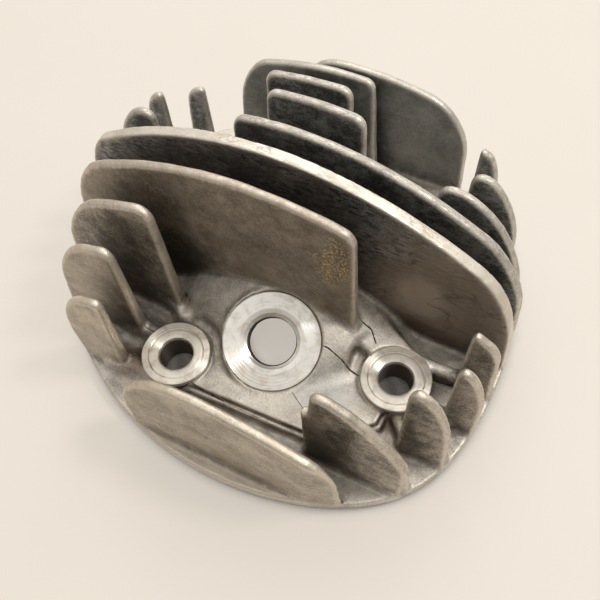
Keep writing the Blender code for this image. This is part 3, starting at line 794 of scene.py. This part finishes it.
PLUG_STEPS, THREAD_STEPS = 144, 90
PLUG_BEVEL = [(8.4, -0.45), (8.1, -0.6), (7.9, -0.62), (7.6, -0.8), (7.4, -0.84), (7.1, -1.1), (6.6, -1.4)]
THREAD_TOP = -1.5
DOME_CLEARANCE = 0.02
SEAT_EDGE, SEAT_INNER = PLUG_FACE - 0.4, 8.6
SEAT_LEVEL, CUT_WIDTH = -0.42, 0.11
RIPPLES = ((0.010, 7.3), (0.006, 17.0))      # height of each ripple on the seat, and its rate
SLEEVE_OVERLAP = 0.2
THREAD_FLAT = 1.4                            # over 1, so that the thread's grooves have a flat bottom
SHARP_ANGLE = math.radians(28)
BOSS_STEPS = 96
BOSS_PROFILE = [(8.55, 0.0), (8.55, 1.0), (9.15, 1.0), (9.15, 9.3), (9.1, 9.42), (8.95, 9.5), (8.2, 9.5),
                (7.45, 9.5), (7.35, 9.3), (7.2, 9.22), (7.05, 9.28), (6.4, 9.24), (5.6, 9.18), (4.95, 9.12),
                (4.7, 9.0), (4.5, 8.7), (STUD_HOLE, 8.3), (STUD_HOLE, 4.0), (STUD_HOLE, 0.5), (4.9, 0.0)]


def link(obj):
    """Put an object in the scene."""
    bpy.context.scene.collection.objects.link(obj)
    return obj


def store(mesh, key, values):
    """Keep one value on each vertex under a name."""
    layer = mesh.attributes.new(key, "FLOAT", "POINT")
    layer.data.foreach_set("value", np.ascontiguousarray(values, dtype=np.float32))


def skin_patch(name, faces):
    """One region of the cast skin as its own piece."""
    used, inverse = np.unique(faces, return_inverse=True)
    mesh = bpy.data.meshes.new("cast_" + name)
    mesh.from_pydata(((skin[used] + DATUM) * MM).tolist(), [], inverse.reshape(faces.shape).tolist())
    mesh.shade_smooth()
    mesh.normals_split_custom_set_from_vertices(normals[used].tolist())
    inset = np.full(len(used), NOT_ON_FIN)
    if name in fin_outlines:
        inset = -polygon_distance(fin_outlines[name], skin[used, 0], skin[used, 2])
    store(mesh, "bend", bend[used])
    store(mesh, "inset", inset)
    store(mesh, "lean", lean[used])
    mesh.materials.append(MATERIALS[MATERIAL_OF.get(name, "rear")])
    piece = link(bpy.data.objects.new("cast_" + name, mesh))
    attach(piece, "root")
    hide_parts(name)


def lathe_piece(name, rings, material, node_name, centre, turn=Matrix.Identity(3)):
    """Closed ring of sections: rings[i][j] is point j of section i, in the lathe's millimetres."""
    steps, count = len(rings), len(rings[0])
    turned = [Vector(p) for ring in rings for p in ring]
    verts = [turn @ p * MM for p in turned]
    faces = []
    for i in range(steps):
        j = (i + 1) % steps
        for k in range(count):
            n = (k + 1) % count
            faces.append((i * count + k, j * count + k, j * count + n, i * count + n))
    mesh = bpy.data.meshes.new(name)
    mesh.from_pydata(verts, [], faces)
    mesh.shade_smooth()
    mesh.set_sharp_from_angle(angle=SHARP_ANGLE)
    store(mesh, "radius", [math.hypot(p.x, p.y) for p in turned])
    store(mesh, "height", [p.z for p in turned])
    mesh.materials.append(material)
    piece = link(bpy.data.objects.new(name, mesh))
    piece.location = (np.array(centre) + DATUM) * MM
    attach(piece, "root")
    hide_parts(node_name)


def seat_profile():
    """Turned face of the plug seat, from its outer wall to its bevel, as (radius, height)."""
    face = [(PLUG_FACE, -PLUG_RECESS + PLUG_CLEARANCE), (PLUG_FACE, -0.62), (PLUG_FACE - 0.25, -0.4)]
    radius = SEAT_EDGE
    while radius > SEAT_INNER:
        ripple = sum(height * math.sin(rate * radius) for height, rate in RIPPLES)
        face.append((radius, SEAT_LEVEL + ripple))
        radius -= CUT_WIDTH
    return face + PLUG_BEVEL


def dome_height(x, y, centre):
    """Height of the chamber's dome at a point across the plug's axis."""
    flat = (x - centre[0]) ** 2 + (y - centre[1]) ** 2
    return centre[2] + math.sqrt(CHAMBER_SPHERE ** 2 - flat) + DOME_CLEARANCE


def plug_piece():
    """Turned plug seat with its threaded bore, ending on the chamber's dome."""
    turn = Vector((0.0, 0.0, 1.0)).rotation_difference(Vector(PLUG_AXIS)).to_matrix()
    centre = np.array(turn.transposed() @ Vector(CHAMBER_CENTRE - PLUG_SEAT))
    face = seat_profile()
    rings = []
    for i in range(PLUG_STEPS):
        angle = math.tau * i / PLUG_STEPS
        c, s = math.cos(angle), math.sin(angle)
        ring = [(r * c, r * s, z) for r, z in face]
        bottom = dome_height(THREAD_MINOR * c, THREAD_MINOR * s, centre)
        for k in range(THREAD_STEPS + 1):
            z = THREAD_TOP + (bottom - THREAD_TOP) * k / THREAD_STEPS
            phase = (z / THREAD_PITCH + angle / math.tau) % 1.0
            depth = 1.0 - abs(2.0 * phase - 1.0)
            r = THREAD_MINOR + (THREAD_MAJOR - THREAD_MINOR) * min(1.0, THREAD_FLAT * depth)
            ring.append((r * c, r * s, z))
        x, y = SLEEVE_OUTER * c, SLEEVE_OUTER * s
        ring.append((x, y, dome_height(x, y, centre) + SLEEVE_OVERLAP))
        ring.append((x, y, -PLUG_RECESS + PLUG_CLEARANCE))
        rings.append(ring)
    lathe_piece("turned_plug_seat", rings, SEAT_METAL, "plug_boss", PLUG_SEAT, turn)


def boss_pieces():
    """Turned face and bore of each stud boss."""
    for place, (x, y) in STUDS.items():
        rings = []
        for i in range(BOSS_STEPS):
            angle = math.tau * i / BOSS_STEPS
            rings.append([(r * math.cos(angle), r * math.sin(angle), z) for r, z in BOSS_PROFILE])
        lathe_piece("turned_boss_" + place, rings, STUD_METAL, "stud_boss_" + place, (x, y, 0.0))


labels, patch_names = patch_labels()
for index, patch_name in enumerate(patch_names):
    skin_patch(patch_name, quads[labels == index])
plug_piece()
boss_pieces()


# ---------------------------------------------------------------- stage, light and camera

TABLE_HALF, TABLE_LEVEL = 3.0, -0.0003       # metres
TABLE_TONES = ((0.79, 0.725, 0.64), (0.83, 0.775, 0.70))
TABLE_SHADED_AND_CLEAR_BASES = ((0.05, 0.04, 0.03), (0.30, 0.275, 0.245))       # painted shade where covered, and in the clear
TABLE_REACH, TABLE_GLOW = 8.0, 0.59
SKY_BRIGHTEST = (-0.1, 0.4, 0.91)            # direction of the brightest sky
SKY_TONES = ((0.16, 0.15, 0.14), (1.25, 1.2, 1.13))
SKY_STRENGTH = 0.85
SENSOR_WIDTH, LENS = 36.0, 40.88142
CAMERA_AZIMUTH, CAMERA_ELEVATION, CAMERA_ROLL = 30.629, 59.776, -5.108         # degrees
CAMERA_DISTANCE = 197.392
CAMERA_TARGET = (1.274, -3.653, 0.0)


def make_floor():
    """Pale table top that glows faintly, as a lit white surface does, with painted contact shade where it is
    covered.
    """
    material, tree, shader, place = new_material("table")
    speck = noise(tree, place, 60.0, detail=3.0)
    colour = blend(tree, speck, *TABLE_TONES)
    # Painted contact shade: the table's colour and glow drop where the head covers it within the reach.
    open_sky = smooth(tree, openness(tree, TABLE_REACH, samples=8), 0.25, 0.7)
    base = blend(tree, open_sky, *TABLE_SHADED_AND_CLEAR_BASES)
    tree.links.new(base, shader.inputs["Base Color"])
    tree.links.new(colour, shader.inputs["Emission Color"])
    tree.links.new(times(tree, open_sky, TABLE_GLOW), shader.inputs["Emission Strength"])
    shader.inputs["Roughness"].default_value = 0.75
    corners = [(x * TABLE_HALF, y * TABLE_HALF, TABLE_LEVEL) for x, y in ((-1, -1), (1, -1), (1, 1), (-1, 1))]
    mesh = bpy.data.meshes.new("table")
    mesh.from_pydata(corners, [], [(0, 1, 2, 3)])
    mesh.materials.append(material)
    link(bpy.data.objects.new("table", mesh))


def make_world():
    """Sky that is bright overhead and behind the head, and dim on the camera's side."""
    world = bpy.data.worlds.new("studio")
    bpy.context.scene.world = world
    world.use_nodes = True
    tree = world.node_tree
    direction = node(tree, "ShaderNodeTexCoord").outputs["Generated"]
    toward = node(tree, "ShaderNodeVectorMath", direction, SKY_BRIGHTEST,
                  operation="DOT_PRODUCT").outputs["Value"]
    glow = smooth(tree, toward, -0.3, 1.0)
    colour = blend(tree, glow, *SKY_TONES)
    back = tree.nodes["Background"]
    tree.links.new(colour, back.inputs["Color"])
    back.inputs["Strength"].default_value = SKY_STRENGTH


def make_lamp(name, place, power, size, tint):
    """Soft square lamp aimed at the head."""
    lamp = bpy.data.lights.new(name, "AREA")
    lamp.energy = power
    lamp.size = size
    lamp.color = tint
    holder = link(bpy.data.objects.new(name, lamp))
    holder.location = place
    holder.rotation_euler = (-Vector(place)).to_track_quat("-Z", "Y").to_euler()


def make_camera():
    """Camera that looks down at the front of the head from its right."""
    a, e, r = (math.radians(v) for v in (CAMERA_AZIMUTH, CAMERA_ELEVATION, CAMERA_ROLL))
    back = Vector((math.sin(a) * math.cos(e), -math.cos(a) * math.cos(e), math.sin(e)))
    level = (-back).cross(Vector((0.0, 0.0, 1.0))).normalized()
    upright = level.cross(-back)
    right = level * math.cos(r) + upright * math.sin(r)
    up = -level * math.sin(r) + upright * math.cos(r)
    place = (Vector(CAMERA_TARGET) + Vector(DATUM) + CAMERA_DISTANCE * back) * MM
    data = bpy.data.cameras.new("camera")
    data.sensor_width = SENSOR_WIDTH
    data.lens = LENS
    data.clip_start = 0.01
    camera = link(bpy.data.objects.new("camera", data))
    camera.matrix_world = Matrix(((right.x, up.x, back.x, place.x), (right.y, up.y, back.y, place.y),
                                  (right.z, up.z, back.z, place.z), (0.0, 0.0, 0.0, 1.0)))
    bpy.context.scene.camera = camera


make_floor()
make_world()
make_lamp("key", place=(0.36, 0.16, 0.58), power=1.6, size=0.12, tint=(1.0, 0.98, 0.94))
make_lamp("rear", place=(-0.20, 0.40, 0.60), power=1.5, size=0.4, tint=(1.0, 0.97, 0.92))
make_camera()
bpy.context.scene.view_settings.view_transform = "Standard"
